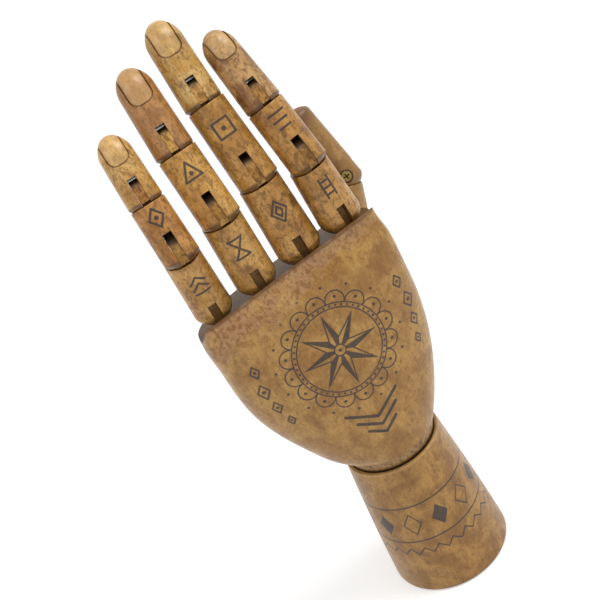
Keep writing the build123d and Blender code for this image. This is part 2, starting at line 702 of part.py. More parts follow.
# Fingers, from the knuckle link in the palm to the tip
for finger in fingers:
    name = finger_names[finger]
    knuckle_frame = knuckle_frames[finger]
    knuckle_ball = knuckle_radii[finger] + knuckle_allowance
    middle_ball = round_end_radius(middle_joint_radii[finger], middle_joint_rise_share)
    end_ball = round_end_radius(end_joint_radii[finger], end_joint_rise_share)

    # Knuckle link: a plate with round ends between the splay pin and the knuckle
    with BuildPart() as knuckle_link:
        with BuildSketch(side_plane(knuckle_frame)):
            with Locations((0, -link_length / 2)):
                SlotCenterToCenter(link_length, 2 * tongue_end_radius, rotation=90)
            Circle(hinge_pin_radius + running_clearance, mode=Mode.SUBTRACT)
        extrude(amount=tongue_thickness / 2, both=True)
        with BuildSketch(back_plane(knuckle_frame.offset(-link_length))):
            Circle(splay_pin_radius + running_clearance)
        extrude(amount=2 * tongue_end_radius, both=True, mode=Mode.SUBTRACT)
    knuckle_link.part.label = f"{name}_knuckle_link"
    export_step(knuckle_link.part, f"parts/{name}_knuckle_link.step")

    # Proximal phalanx
    with BuildPart() as proximal:
        turn_phalanx(
            proximal_frames[finger],
            knuckle_ball,
            knuckle_radii[finger],
            middle_joint_radii[finger],
            middle_joint_rise_share,
            proximal_lengths[finger],
        )
        cut_hinge_slot(proximal_frames[finger], knuckle_ball)
        cut_across(proximal_frames[finger], hinge_pin_radius, 2 * knuckle_ball)
        cut_tongue_root(middle_joint_frames[finger], middle_joint_radii[finger], middle_joint_rise_share)
    proximal.part.label = f"{name}_proximal"
    export_step(proximal.part, f"parts/{name}_proximal.step")

    # Middle phalanx
    with BuildPart() as middle:
        turn_phalanx(
            middle_frames[finger],
            middle_ball,
            middle_joint_radii[finger],
            end_joint_radii[finger],
            end_joint_rise_share,
            middle_lengths[finger],
        )
        cut_hinge_slot(middle_frames[finger], middle_ball)
        cut_across(middle_frames[finger], hinge_pin_radius, 2 * middle_ball)
        cut_tongue_root(end_joint_frames[finger], end_joint_radii[finger], end_joint_rise_share)
    middle.part.label = f"{name}_middle"
    export_step(middle.part, f"parts/{name}_middle.step")

    # Nail line: a band as deep as the line, inside the last phalanx's outline
    dome = tip_radii[finger] * finger_dome_share
    crown = tip_radii[finger] * finger_crown_share
    nail_root = distal_lengths[finger] - nail_lengths[finger]
    nail_corner = nail_widths[finger] / 2 * nail_corner_share
    with BuildPart() as nail_line:
        for inset, mode in ((0, Mode.ADD), (nail_line_width, Mode.SUBTRACT)):
            with BuildSketch(back_plane(distal_frames[finger])) as nail:
                with Locations((0, nail_root + inset)):
                    Rectangle(
                        nail_widths[finger] - 2 * inset,
                        2 * nail_lengths[finger],
                        align=(Align.CENTER, Align.MIN),
                    )
                fillet(nail.vertices().group_by(Axis.Y)[0], nail_corner - inset)
            extrude(amount=2 * end_joint_radii[finger], mode=mode)
        with BuildSketch(side_plane(distal_frames[finger])):
            with BuildLine():
                draw_tip(
                    end_ball,
                    end_joint_radii[finger],
                    tip_radii[finger],
                    distal_lengths[finger],
                    dome,
                    crown,
                    nail_line_depth,
                )
            make_face()
        revolve(axis=Axis(distal_frames[finger].origin, distal_frames[finger].z_dir), mode=Mode.SUBTRACT)

    # Distal phalanx
    with BuildPart() as distal:
        turn_last_phalanx(
            distal_frames[finger],
            end_joint_radii[finger],
            end_joint_rise_share,
            tip_radii[finger],
            distal_lengths[finger],
            dome,
            crown,
        )
        cut_hinge_slot(distal_frames[finger], end_ball)
        cut_across(distal_frames[finger], hinge_pin_radius, 2 * end_ball)
        add(nail_line.part, mode=Mode.SUBTRACT)
    distal.part.label = f"{name}_distal"
    export_step(distal.part, f"parts/{name}_distal.step")

    # Tongues of the middle and end joints
    with BuildPart() as proximal_tongue:
        shape_tongue(
            middle_joint_frames[finger],
            middle_joint_radii[finger],
            middle_joint_rise_share,
            hinge_pin_radius + running_clearance,
        )
    proximal_tongue.part.label = f"{name}_proximal_tongue"
    export_step(proximal_tongue.part, f"parts/{name}_proximal_tongue.step")
    with BuildPart() as middle_tongue:
        shape_tongue(
            end_joint_frames[finger],
            end_joint_radii[finger],
            end_joint_rise_share,
            hinge_pin_radius + running_clearance,
        )
    middle_tongue.part.label = f"{name}_middle_tongue"
    export_step(middle_tongue.part, f"parts/{name}_middle_tongue.step")

    # Cross pins of the three hinges
    with BuildPart() as knuckle_pin:
        shape_cross_pin(proximal_frames[finger], hinge_pin_radius, knuckle_radii[finger] - hinge_pin_inset)
    knuckle_pin.part.label = f"{name}_knuckle_pin"
    export_step(knuckle_pin.part, f"parts/{name}_knuckle_pin.step")
    with BuildPart() as middle_pin:
        middle_pin_reach = middle_joint_radii[finger] - hinge_pin_inset
        shape_cross_pin(middle_frames[finger], hinge_pin_radius, middle_pin_reach)
    middle_pin.part.label = f"{name}_middle_pin"
    export_step(middle_pin.part, f"parts/{name}_middle_pin.step")
    with BuildPart() as end_pin:
        shape_cross_pin(distal_frames[finger], hinge_pin_radius, end_joint_radii[finger] - hinge_pin_inset)
    end_pin.part.label = f"{name}_end_pin"
    export_step(end_pin.part, f"parts/{name}_end_pin.step")

# Thumb metacarpal: flat where it lies on the palm, drilled for the screw that it swings on
with BuildPart() as thumb_metacarpal:
    turn_phalanx(
        thumb_base_frame,
        thumb_base_ball,
        thumb_base_radius,
        thumb_fold_joint_radius,
        thumb_joint_rise_share,
        thumb_metacarpal_length,
    )
    with BuildSketch(front_plane(thumb_base_frame).offset(-thumb_seat_inset)):
        Rectangle(4 * thumb_base_ball, 4 * thumb_metacarpal_length)
    extrude(amount=-thumb_base_ball, mode=Mode.SUBTRACT)
    cut_tongue_root(thumb_joint_frame, thumb_fold_joint_radius, thumb_joint_rise_share)
    cut_screw_seat(
        base_screw_place,
        base_screw_head_radius,
        base_screw_head_height,
        base_screw_radius,
        base_screw_length,
        running_clearance,
        running_clearance,
    )
thumb_metacarpal.part.label = "thumb_metacarpal"
export_step(thumb_metacarpal.part, "parts/thumb_metacarpal.step")

# Thumb base screw, fixed in the palm
with BuildPart() as thumb_base_screw:
    turn_screw(
        base_screw_place,
        base_screw_head_radius,
        base_screw_head_height,
        base_screw_radius,
        base_screw_length,
    )
thumb_base_screw.part.label = "thumb_base_screw"
export_step(thumb_base_screw.part, "parts/thumb_base_screw.step")

# Thumb proximal phalanx, relieved where the last phalanx folds against it
thumb_fold_ball = round_end_radius(thumb_fold_joint_radius, thumb_joint_rise_share)
with BuildPart() as thumb_proximal:
    turn_phalanx(
        thumb_proximal_frame,
        thumb_fold_ball,
        thumb_fold_joint_radius,
        thumb_hinge_radius,
        thumb_hinge_rise_share,
        thumb_proximal_length,
    )
    with BuildSketch(folded(thumb_hinge_frame, thumb_hinge_full_fold)):
        Circle(thumb_hinge_radius + seat_clearance)
    extrude(amount=thumb_proximal_length, mode=Mode.SUBTRACT)
    cut_hinge_slot(thumb_proximal_frame, thumb_fold_ball)
    cut_across(thumb_proximal_frame, hinge_pin_radius, 2 * thumb_fold_ball)
    cut_tongue_root(thumb_hinge_frame, thumb_hinge_radius, thumb_hinge_rise_share)
thumb_proximal.part.label = "thumb_proximal"
export_step(thumb_proximal.part, "parts/thumb_proximal.step")

# Thumb distal phalanx, with the seat of its hinge screw
thumb_hinge_ball = round_end_radius(thumb_hinge_radius, thumb_hinge_rise_share)
with BuildPart() as thumb_distal:
    turn_last_phalanx(
        thumb_distal_frame,
        thumb_hinge_radius,
        thumb_hinge_rise_share,
        thumb_tip_radius,
        thumb_distal_length,
        thumb_tip_radius * thumb_dome_share,
        thumb_tip_radius * thumb_crown_share,
    )
    cut_hinge_slot(thumb_distal_frame, thumb_hinge_ball)
    cut_screw_seat(
        hinge_screw_place,
        hinge_screw_head_radius,
        hinge_screw_head_height,
        hinge_screw_radius,
        hinge_screw_length,
        hinge_screw_head_clearance,
        0,
    )
thumb_distal.part.label = "thumb_distal"
export_step(thumb_distal.part, "parts/thumb_distal.step")

# Thumb tongues, fold pin and hinge screw
with BuildPart() as thumb_metacarpal_tongue:
    shape_tongue(
        thumb_joint_frame,
        thumb_fold_joint_radius,
        thumb_joint_rise_share,
        hinge_pin_radius + running_clearance,
    )
thumb_metacarpal_tongue.part.label = "thumb_metacarpal_tongue"
export_step(thumb_metacarpal_tongue.part, "parts/thumb_metacarpal_tongue.step")

with BuildPart() as thumb_proximal_tongue:
    shape_tongue(
        thumb_hinge_frame,
        thumb_hinge_radius,
        thumb_hinge_rise_share,
        hinge_screw_radius + running_clearance,
    )
thumb_proximal_tongue.part.label = "thumb_proximal_tongue"
export_step(thumb_proximal_tongue.part, "parts/thumb_proximal_tongue.step")

with BuildPart() as thumb_fold_pin:
    shape_cross_pin(thumb_proximal_frame, hinge_pin_radius, thumb_fold_joint_radius - hinge_pin_inset)
thumb_fold_pin.part.label = "thumb_fold_pin"
export_step(thumb_fold_pin.part, "parts/thumb_fold_pin.step")

with BuildPart() as thumb_hinge_screw:
    turn_screw(
        hinge_screw_place,
        hinge_screw_head_radius,
        hinge_screw_head_height,
        hinge_screw_radius,
        hinge_screw_length,
    )
thumb_hinge_screw.part.label = "thumb_hinge_screw"
export_step(thumb_hinge_screw.part, "parts/thumb_hinge_screw.step")
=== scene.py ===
import math

import bpy
from mathutils import Matrix, Vector
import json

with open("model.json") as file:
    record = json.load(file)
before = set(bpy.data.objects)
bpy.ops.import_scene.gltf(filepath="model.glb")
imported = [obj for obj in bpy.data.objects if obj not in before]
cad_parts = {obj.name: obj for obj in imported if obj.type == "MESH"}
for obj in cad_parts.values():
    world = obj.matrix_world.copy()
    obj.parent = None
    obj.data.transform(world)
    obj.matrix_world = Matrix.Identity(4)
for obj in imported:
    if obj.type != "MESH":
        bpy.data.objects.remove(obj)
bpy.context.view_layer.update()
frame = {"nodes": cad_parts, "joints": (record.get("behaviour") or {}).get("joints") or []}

# Camera: in front of the back of the hand and well above it, rolled so that the fingers point to
# the upper left of the picture. A 72 mm lens on the 36 mm sensor.
camera_place = Vector((-0.0443, -0.4552, 0.4245))
camera_target = Vector((-0.0045, 0.0, 0.1660))
camera_roll = math.radians(30)
forward = (camera_target - camera_place).normalized()
level = forward.cross(Vector((0, 0, 1))).normalized()
upright = level.cross(forward)
camera_right = math.cos(camera_roll) * level - math.sin(camera_roll) * upright
camera_up = math.sin(camera_roll) * level + math.cos(camera_roll) * upright
camera = bpy.data.objects.new("camera", bpy.data.cameras.new("camera"))
camera.data.lens = 72
camera.data.sensor_width = 36
camera.data.clip_start = 0.01
turned = Matrix((camera_right, camera_up, -forward)).transposed()
camera.matrix_world = Matrix.Translation(camera_place) @ turned.to_4x4()
bpy.context.scene.collection.objects.link(camera)
bpy.context.scene.camera = camera

# Forearm: a tapered block of beech turned on the lathe, wiped with a honey stain and varnished to a
# satin shine. The wood darkens towards its foot, and painted shade darkens the inside of its cup.
# It is also the stand. A band of lozenges and a zigzag are drawn round it with a pen. The plug in
# its foot is of the same wood.
forearm_radius = 27.5
forearm_rim_height = 76.0
forearm_cup_mouth = 22.4
forearm_under_cup = 60.0
lozenge_pitch = 14.4
lozenge_width = 4.4
lozenge_height = 6.2
lozenge_level = 44.0
band_levels = (33.5, 54.5)
zigzag_level = 29.0
ink_hex = "2A2426"
ink_half_width = 0.32


def linear(hexed):
    """An sRGB hex colour as the linear colour that a shader takes."""
    channels = [int(hexed[start : start + 2], 16) / 255 for start in (0, 2, 4)]
    channels = [c / 12.92 if c <= 0.04045 else ((c + 0.055) / 1.055) ** 2.4 for c in channels]
    return (*channels, 1.0)


def add_node(tree, kind, links=(), **settings):
    """Adds a node. Links gives each socket its value, or the node or socket that feeds it."""
    node = tree.nodes.new("ShaderNode" + kind)
    for name, value in settings.items():
        setattr(node, name, value)
    for socket, value in dict(links).items():
        if isinstance(value, bpy.types.Node):
            value = value.outputs[0]
        if isinstance(value, bpy.types.NodeSocket):
            tree.links.new(value, node.inputs[socket])
        else:
            node.inputs[socket].default_value = value
    return node


def point_in(tree, place):
    """The point of the surface, in millimetres, in the place's own frame."""
    return add_node(
        tree,
        "Mapping",
        {
            "Vector": add_node(tree, "TexCoord").outputs["Object"],
            "Location": place.to_translation(),
            "Rotation": place.to_euler(),
            "Scale": (0.001, 0.001, 0.001),
        },
        vector_type="TEXTURE",
    )


def stained_beech(name, place, seed, pale, honey, brown, mottle):
    """Starts a material: beech with an antique stain, its grain along the Z of the place."""
    material = bpy.data.materials.new(name)
    material.use_nodes = True
    tree = material.node_tree
    where = point_in(tree, place)
    # pools of stain about 12 mm wide, clouds of 5 mm, and mottles of 2 mm that lie along the grain
    pools = add_node(
        tree,
        "TexNoise",
        {
            "Vector": where,
            "W": seed,
            "Scale": 0.085,
            "Detail": 3.0,
            "Roughness": 0.6,
            "Distortion": 0.4,
        },
        noise_dimensions="4D",
    )
    pooled = add_node(
        tree,
        "MapRange",
        {"Value": pools, "From Min": 0.38, "From Max": 0.62},
        interpolation_type="SMOOTHSTEP",
    )
    along = add_node(tree, "VectorMath", {0: where, 1: (1.0, 1.0, 0.7)}, operation="MULTIPLY")
    clouds = add_node(
        tree,
        "TexNoise",
        {
            "Vector": along,
            "W": seed + 5,
            "Scale": 0.2,
            "Detail": 4.0,
            "Roughness": 0.55,
            "Distortion": 1.0,
        },
        noise_dimensions="4D",
    )
    clouded = add_node(
        tree,
        "MapRange",
        {"Value": clouds, "From Min": 0.48, "From Max": 0.64, "To Max": 0.8 * mottle},
        interpolation_type="SMOOTHSTEP",
    )
    mottles = add_node(
        tree,
        "TexNoise",
        {
            "Vector": along,
            "W": seed + 7,
            "Scale": 0.55,
            "Detail": 5.0,
            "Roughness": 0.62,
            "Distortion": 0.8,
        },
        noise_dimensions="4D",
    )
    mottled = add_node(
        tree,
        "MapRange",
        {"Value": mottles, "From Min": 0.49, "From Max": 0.64, "To Max": mottle},
        interpolation_type="SMOOTHSTEP",
    )
    # grain lines 0.6 mm wide and a centimetre long, and dark pores 0.7 mm wide. The real grain and
    # pores are finer, and are drawn as coarse as they need to show.
    fibres = add_node(tree, "VectorMath", {0: where, 1: (1.0, 1.0, 0.06)}, operation="MULTIPLY")
    grain = add_node(
        tree,
        "TexNoise",
        {"Vector": fibres, "W": seed, "Scale": 1.7, "Detail": 2.0, "Roughness": 0.5},
        noise_dimensions="4D",
    )
    grained = add_node(
        tree, "MapRange", {"Value": grain, "From Min": 0.35, "From Max": 0.75, "To Max": 0.3}
    )
    pores = add_node(
        tree,
        "TexNoise",
        {
            "Vector": along,
            "W": seed + 3,
            "Scale": 1.35,
            "Detail": 3.0,
            "Roughness": 0.6,
            "Distortion": 0.5,
        },
        noise_dimensions="4D",
    )
    pored = add_node(
        tree,
        "MapRange",
        {"Value": pores, "From Min": 0.54, "From Max": 0.72, "To Max": 1.15 * mottle},
        interpolation_type="SMOOTHSTEP",
    )
    wood = add_node(
        tree, "MixRGB", {"Fac": pooled, "Color1": linear(pale), "Color2": linear(honey)}
    )
    wood = add_node(tree, "MixRGB", {"Fac": clouded, "Color1": wood, "Color2": linear(brown)})
    wood = add_node(tree, "MixRGB", {"Fac": mottled, "Color1": wood, "Color2": linear(brown)})
    wood = add_node(tree, "MixRGB", {"Fac": grained, "Color1": wood, "Color2": linear(brown)})
    wood = add_node(tree, "MixRGB", {"Fac": pored, "Color1": wood, "Color2": linear("502C14")})
    return material, tree, where, wood, grain, mottles


def varnish(tree, colour, grain, mottles, gloss=0.34, coat=0.14):
    """Ends a wood material: a thin satin varnish, duller in the mottles, that follows the grain."""
    shader = tree.nodes["Principled BSDF"]
    rough = add_node(
        tree,
        "MapRange",
        {
            "Value": mottles,
            "From Min": 0.3,
            "From Max": 0.7,
            "To Min": gloss - 0.05,
            "To Max": gloss + 0.12,
        },
    )
    ripple = add_node(tree, "Math", {0: grain, 1: mottles}, operation="ADD")
    bump = add_node(tree, "Bump", {"Height": ripple, "Strength": 0.25, "Distance": 0.0002})
    tree.links.new(colour.outputs[0], shader.inputs["Base Color"])
    tree.links.new(rough.outputs[0], shader.inputs["Roughness"])
    tree.links.new(bump.outputs[0], shader.inputs["Normal"])
    shader.inputs["IOR"].default_value = 1.42
    shader.inputs["Coat Weight"].default_value = coat
    shader.inputs["Coat Roughness"].default_value = 0.22


def nearest(tree, distances):
    """The least of several distances, which is the distance to the nearest of their lines."""
    least = distances[0]
    for distance in distances[1:]:
        least = add_node(tree, "Math", {0: least, 1: distance}, operation="MINIMUM")
    return least


def line_at(tree, value, place, half_width):
    """Distance to the edge of a pen line that runs where the value equals the place."""
    off = add_node(tree, "Math", {0: value, 1: place}, operation="SUBTRACT")
    off = add_node(tree, "Math", {0: off}, operation="ABSOLUTE")
    return add_node(tree, "Math", {0: off, 1: half_width}, operation="SUBTRACT")


def inked(tree, wood, distance, mottles):
    """Lays pen ink on the wood where the distance is below zero, thinner on mottled stain."""
    inside = add_node(tree, "MapRange", {"Value": distance, "From Min": 0.12, "From Max": -0.12})
    thinned = add_node(
        tree,
        "MapRange",
        {"Value": mottles, "From Min": 0.35, "From Max": 0.65, "To Min": 0.98, "To Max": 0.8},
    )
    share = add_node(tree, "Math", {0: inside, 1: thinned}, operation="MULTIPLY")
    return add_node(tree, "MixRGB", {"Fac": share, "Color1": wood, "Color2": linear(ink_hex)})


def give(material, *nodes):
    """Puts a material on nodes of the frame."""
    for node in nodes:
        frame["nodes"][node].data.materials.clear()
        frame["nodes"][node].data.materials.append(material)


forearm_wood, tree, where, wood, grain, mottles = stained_beech(
    "forearm_satin_beech", Matrix(), 1.0, "B88A44", "96682A", "66421C", 0.4
)
spot = add_node(tree, "SeparateXYZ", {"Vector": where})
height = spot.outputs["Z"]
front = add_node(tree, "Math", {0: spot.outputs["Y"], 1: -1.0}, operation="MULTIPLY")
turn = add_node(tree, "Math", {0: spot.outputs["X"], 1: front}, operation="ARCTAN2")
around = add_node(tree, "Math", {0: turn, 1: forearm_radius}, operation="MULTIPLY")
# lozenges, every other one filled in
repeat = add_node(tree, "Math", {0: around, 1: lozenge_pitch}, operation="PINGPONG")
rise = add_node(tree, "Math", {0: height, 1: lozenge_level}, operation="SUBTRACT")
rise = add_node(tree, "Math", {0: rise}, operation="ABSOLUTE")
rise = add_node(tree, "Math", {0: rise, 1: lozenge_height}, operation="DIVIDE")
drawn = []
for centre in (0.0, lozenge_pitch):
    side = add_node(tree, "Math", {0: repeat, 1: centre}, operation="SUBTRACT")
    side = add_node(tree, "Math", {0: side}, operation="ABSOLUTE")
    side = add_node(tree, "Math", {0: side, 1: lozenge_width}, operation="DIVIDE")
    outwards = add_node(tree, "Math", {0: side, 1: rise}, operation="ADD")
    outwards = add_node(tree, "Math", {0: outwards, 1: -1.0}, operation="ADD")
    outwards = add_node(tree, "Math", {0: outwards, 1: 0.8 * lozenge_width}, operation="MULTIPLY")
    drawn.append(outwards if centre == 0.0 else line_at(tree, outwards, 0.0, ink_half_width))
# a line above, one below, and a zigzag under them
drawn += [line_at(tree, height, level, 0.4) for level in band_levels]
zigzag = add_node(tree, "Math", {0: around, 1: lozenge_pitch / 4}, operation="PINGPONG")
zigzag = add_node(tree, "Math", {0: height, 1: zigzag}, operation="ADD")
drawn.append(line_at(tree, zigzag, zigzag_level, 0.5))
wood = inked(tree, wood, nearest(tree, drawn), mottles)
# painted shade inside the cup, where the ball of the palm sits; the rim is worn paler, partly a
# painted highlight on its edge, and the wood is darker towards the foot
centre_line = add_node(tree, "VectorMath", {0: where, 1: (1.0, 1.0, 0.0)}, operation="MULTIPLY")
radius = add_node(tree, "VectorMath", {0: centre_line}, operation="LENGTH").outputs["Value"]
# the rim worn paler, partly a painted highlight on its edge
worn_rim_sheen = add_node(
    tree,
    "MapRange",
    {
        "Value": height,
        "From Min": forearm_rim_height - 1.4,
        "From Max": forearm_rim_height - 0.4,
        "To Max": 0.45,
    },
)
wood = add_node(tree, "MixRGB", {"Fac": worn_rim_sheen, "Color1": wood, "Color2": linear("C6A068")})
# painted shade inside the cup
cup_shade = add_node(
    tree,
    "MapRange",
    {"Value": radius, "From Min": forearm_cup_mouth + 0.3, "From Max": forearm_cup_mouth},
)
high = add_node(tree, "Math", {0: height, 1: forearm_under_cup}, operation="GREATER_THAN")
cup_shade = add_node(tree, "Math", {0: cup_shade, 1: high}, operation="MULTIPLY")
wood = add_node(tree, "MixRGB", {"Fac": cup_shade, "Color1": wood, "Color2": linear("3E2A18")})
foot = add_node(
    tree, "MapRange", {"Value": height, "From Min": 2.6, "From Max": 0.6, "To Max": 0.5}
)
wood = add_node(tree, "MixRGB", {"Fac": foot, "Color1": wood, "Color2": linear("6B4A28")})
varnish(tree, wood, grain, mottles)
give(forearm_wood, "forearm", "base_plug")

# Wrist: a forked stud, a cross barrel and their pin, of plain steel rod with lathe marks 0.5 mm
# wide, drawn down by a spring on a washer and nut. The pins of the knuckles, fingers and thumb are
# of the same rod.
steel = bpy.data.materials.new("turned_steel")
steel.use_nodes = True
tree = steel.node_tree
shader = tree.nodes["Principled BSDF"]
marks = add_node(
    tree,
    "TexNoise",
    {"Vector": add_node(tree, "TexCoord").outputs["Object"], "Scale": 1800.0, "Detail": 2.0},
)
dulled = add_node(tree, "MapRange", {"Value": marks, "To Min": 0.28, "To Max": 0.5})
tree.links.new(dulled.outputs[0], shader.inputs["Roughness"])
shader.inputs["Base Color"].default_value = linear("9A9892")
shader.inputs["Metallic"].default_value = 1.0
steel_nodes = ["wrist_stud", "wrist_nut", "wrist_washer", "wrist_spring", "wrist_cross"]
steel_nodes += ["wrist_cross_pin", "splay_pins", "thumb_fold_pin"]
for finger in ("little", "ring", "middle", "index"):
    steel_nodes += [finger + "_knuckle_pin", finger + "_middle_pin", finger + "_end_pin"]
give(steel, *steel_nodes)

# Palm: one block of beech carved and sanded to an egg shape, with a round trough on top for the
# knuckles and a ball below for the wrist. The same stain, thinner, is rubbed through to a pinkish
# brown along the knuckle rim. A star in a ring of scallops is drawn on its back with a pen.
row_middle = Vector((-4.5, 0.0, 191.0))
row_tilt = math.radians(-5)
trough_wall = 11.7
wrist_ball_height = 84.5
wrist_ball_radius = 23.4
palm_foot = 83.6
star_height = 146.0
star_side = -2.0
star_points = 8
star_outer = 17.0
star_inner = 6.2
hub_radius = 2.6
ring_radii = (19.4, 21.6)
tick_count = 48
tick_ring = 20.5
tick_radius = 0.55
scallop_count = 16
scallop_ring = 22.8
scallop_radius = 4.3
# the dots in the scallops and outside them: the radius of their ring, its turn and the dot's radius
scallop_dots = ((24.4, 0.0, 0.75), (29.6, math.pi / scallop_count, 0.65))
# the lozenges up each side of the palm: how far out, how high up and how large
side_lozenges = ((33.5, 127.0, 1.6), (36.0, 136.0, 2.1), (37.5, 146.0, 2.6), (36.5, 157.0, 2.1))


def pen_strokes(tree, spot, strokes):
    """Distance to straight pen strokes. A stroke is two ends, across and up, and half its width."""
    distances = []
    for start, end, half_width in strokes:
        first = Vector((start[0], 0.0, start[1]))
        run = Vector((end[0], 0.0, end[1])) - first
        away = add_node(tree, "VectorMath", {0: spot, 1: first}, operation="SUBTRACT")
        if run.length:
            share = add_node(
                tree, "VectorMath", {0: away, 1: run / run.length_squared}, operation="DOT_PRODUCT"
            )
            share = add_node(
                tree, "Math", {0: share.outputs["Value"], 1: 0.0}, operation="ADD", use_clamp=True
            )
            along = add_node(tree, "VectorMath", {0: run, "Scale": share}, operation="SCALE")
            away = add_node(tree, "VectorMath", {0: away, 1: along}, operation="SUBTRACT")
        off = add_node(tree, "VectorMath", {0: away}, operation="LENGTH").outputs["Value"]
        distances.append(add_node(tree, "Math", {0: off, 1: half_width}, operation="SUBTRACT"))
    return nearest(tree, distances)


def round_repeat(tree, radius, turn, count, ring, shift=0.0):
    """Distance to the nearest of some points that are spaced evenly round a ring."""
    turn = add_node(tree, "Math", {0: turn, 1: shift}, operation="ADD")
    turn = add_node(
        tree, "Math", {0: turn, 1: math.pi / count, 2: -math.pi / count}, operation="WRAP"
    )
    outwards = add_node(tree, "Math", {0: turn}, operation="COSINE")
    outwards = add_node(tree, "Math", {0: outwards, 1: radius}, operation="MULTIPLY")
    outwards = add_node(tree, "Math", {0: outwards, 1: ring}, operation="SUBTRACT")
    sideways = add_node(tree, "Math", {0: turn}, operation="SINE")
    sideways = add_node(tree, "Math", {0: sideways, 1: radius}, operation="MULTIPLY")
    local = add_node(tree, "CombineXYZ", {"X": outwards, "Y": sideways})
    return add_node(tree, "VectorMath", {0: local}, operation="LENGTH").outputs["Value"]


def kept_to(tree, side, distance):
    """Keeps a drawing to one side of a piece: on the other the distance to it grows by 60 mm."""
    off_side = add_node(tree, "Math", {0: 1.0, 1: side}, operation="SUBTRACT")
    return add_node(tree, "Math", {0: off_side, 1: 60.0, 2: distance}, operation="MULTIPLY_ADD")


palm_wood, tree, where, wood, grain, mottles = stained_beech(
    "palm_satin_beech", Matrix(), 2.0, "C0944E", "A27434", "744A20", 0.4
)
spot = add_node(tree, "SeparateXYZ", {"Vector": where})
height = spot.outputs["Z"]
on_back = add_node(tree, "Math", {0: spot.outputs["Y"], 1: 0.0}, operation="LESS_THAN")
# the star: the line from a point to the next hollow, filled on one side of each point
flat = add_node(tree, "VectorMath", {0: where, 1: (1.0, 0.0, 1.0)}, operation="MULTIPLY")
flat = add_node(
    tree, "VectorMath", {0: flat, 1: (star_side, 0.0, star_height)}, operation="SUBTRACT"
)
radius = add_node(tree, "VectorMath", {0: flat}, operation="LENGTH").outputs["Value"]
apart = add_node(tree, "SeparateXYZ", {"Vector": flat})
turn = add_node(tree, "Math", {0: apart.outputs["X"], 1: apart.outputs["Z"]}, operation="ARCTAN2")
half_point = math.pi / star_points
signed = add_node(tree, "Math", {0: turn, 1: half_point, 2: -half_point}, operation="WRAP")
folded = add_node(tree, "Math", {0: signed}, operation="ABSOLUTE")
outwards = add_node(tree, "Math", {0: folded}, operation="COSINE")
outwards = add_node(tree, "Math", {0: outwards, 1: radius}, operation="MULTIPLY")
sideways = add_node(tree, "Math", {0: folded}, operation="SINE")
sideways = add_node(tree, "Math", {0: sideways, 1: radius}, operation="MULTIPLY")
hollow = Vector((star_inner * math.cos(half_point), star_inner * math.sin(half_point)))
normal = Vector((hollow.y, star_outer - hollow.x)).normalized()
local = add_node(tree, "CombineXYZ", {"X": outwards, "Y": sideways})
edge = add_node(
    tree, "VectorMath", {0: local, 1: (normal.x, normal.y, 0.0)}, operation="DOT_PRODUCT"
)
edge = add_node(
    tree, "Math", {0: edge.outputs["Value"], 1: star_outer * normal.x}, operation="SUBTRACT"
)
other_side = add_node(tree, "Math", {0: signed, 1: 0.0}, operation="LESS_THAN")
filled = add_node(tree, "Math", {0: other_side, 1: 60.0, 2: edge}, operation="MULTIPLY_ADD")
spine = add_node(tree, "Math", {0: sideways, 1: ink_half_width}, operation="SUBTRACT")
spine = add_node(tree, "Math", {0: spine, 1: edge}, operation="MAXIMUM")
drawn = [filled, line_at(tree, edge, 0.0, ink_half_width), spine]
# its hub, the two rings with ticks between them, and the scallops with their dots
drawn += [line_at(tree, radius, ring, ink_half_width) for ring in ring_radii]
tick = round_repeat(tree, radius, turn, tick_count, tick_ring)
drawn.append(add_node(tree, "Math", {0: tick, 1: tick_radius}, operation="SUBTRACT"))
scallop = round_repeat(tree, radius, turn, scallop_count, scallop_ring)
scallop = line_at(tree, scallop, scallop_radius, ink_half_width)
inner = add_node(tree, "Math", {0: ring_radii[1] + 0.2, 1: radius}, operation="SUBTRACT")
drawn.append(add_node(tree, "Math", {0: scallop, 1: inner}, operation="MAXIMUM"))
for ring, shift, size in scallop_dots:
    dot = round_repeat(tree, radius, turn, scallop_count, ring, shift)
    drawn.append(add_node(tree, "Math", {0: dot, 1: size}, operation="SUBTRACT"))
hub = add_node(tree, "Math", {0: hub_radius, 1: radius}, operation="SUBTRACT")
drawn = [add_node(tree, "Math", {0: nearest(tree, drawn), 1: hub}, operation="MAXIMUM")]
drawn += [line_at(tree, radius, hub_radius, ink_half_width), line_at(tree, radius, 0.0, 0.8)]
# three chevrons towards the wrist, and a row of small lozenges up each side
across = add_node(tree, "Math", {0: apart.outputs["X"]}, operation="ABSOLUTE")
mirrored = add_node(tree, "CombineXYZ", {"X": across, "Z": height})
marks = [
    ((0.0, 99.5 + 4.5 * row), (7.0 + 3.0 * row, 104.0 + 6.0 * row), 0.75) for row in range(3)
]
for side, up, size in side_lozenges:
    tall = 1.6 * size
    corners = [(side, up - tall), (side + size, up), (side, up + tall), (side - size, up)]
    marks += [(corners[corner - 1], corners[corner], 0.4) for corner in range(4)]
    marks.append(((side, up), (side, up), 0.35 * size))
drawn.append(pen_strokes(tree, mirrored, marks))
wood = inked(tree, wood, kept_to(tree, on_back, nearest(tree, drawn)), mottles)
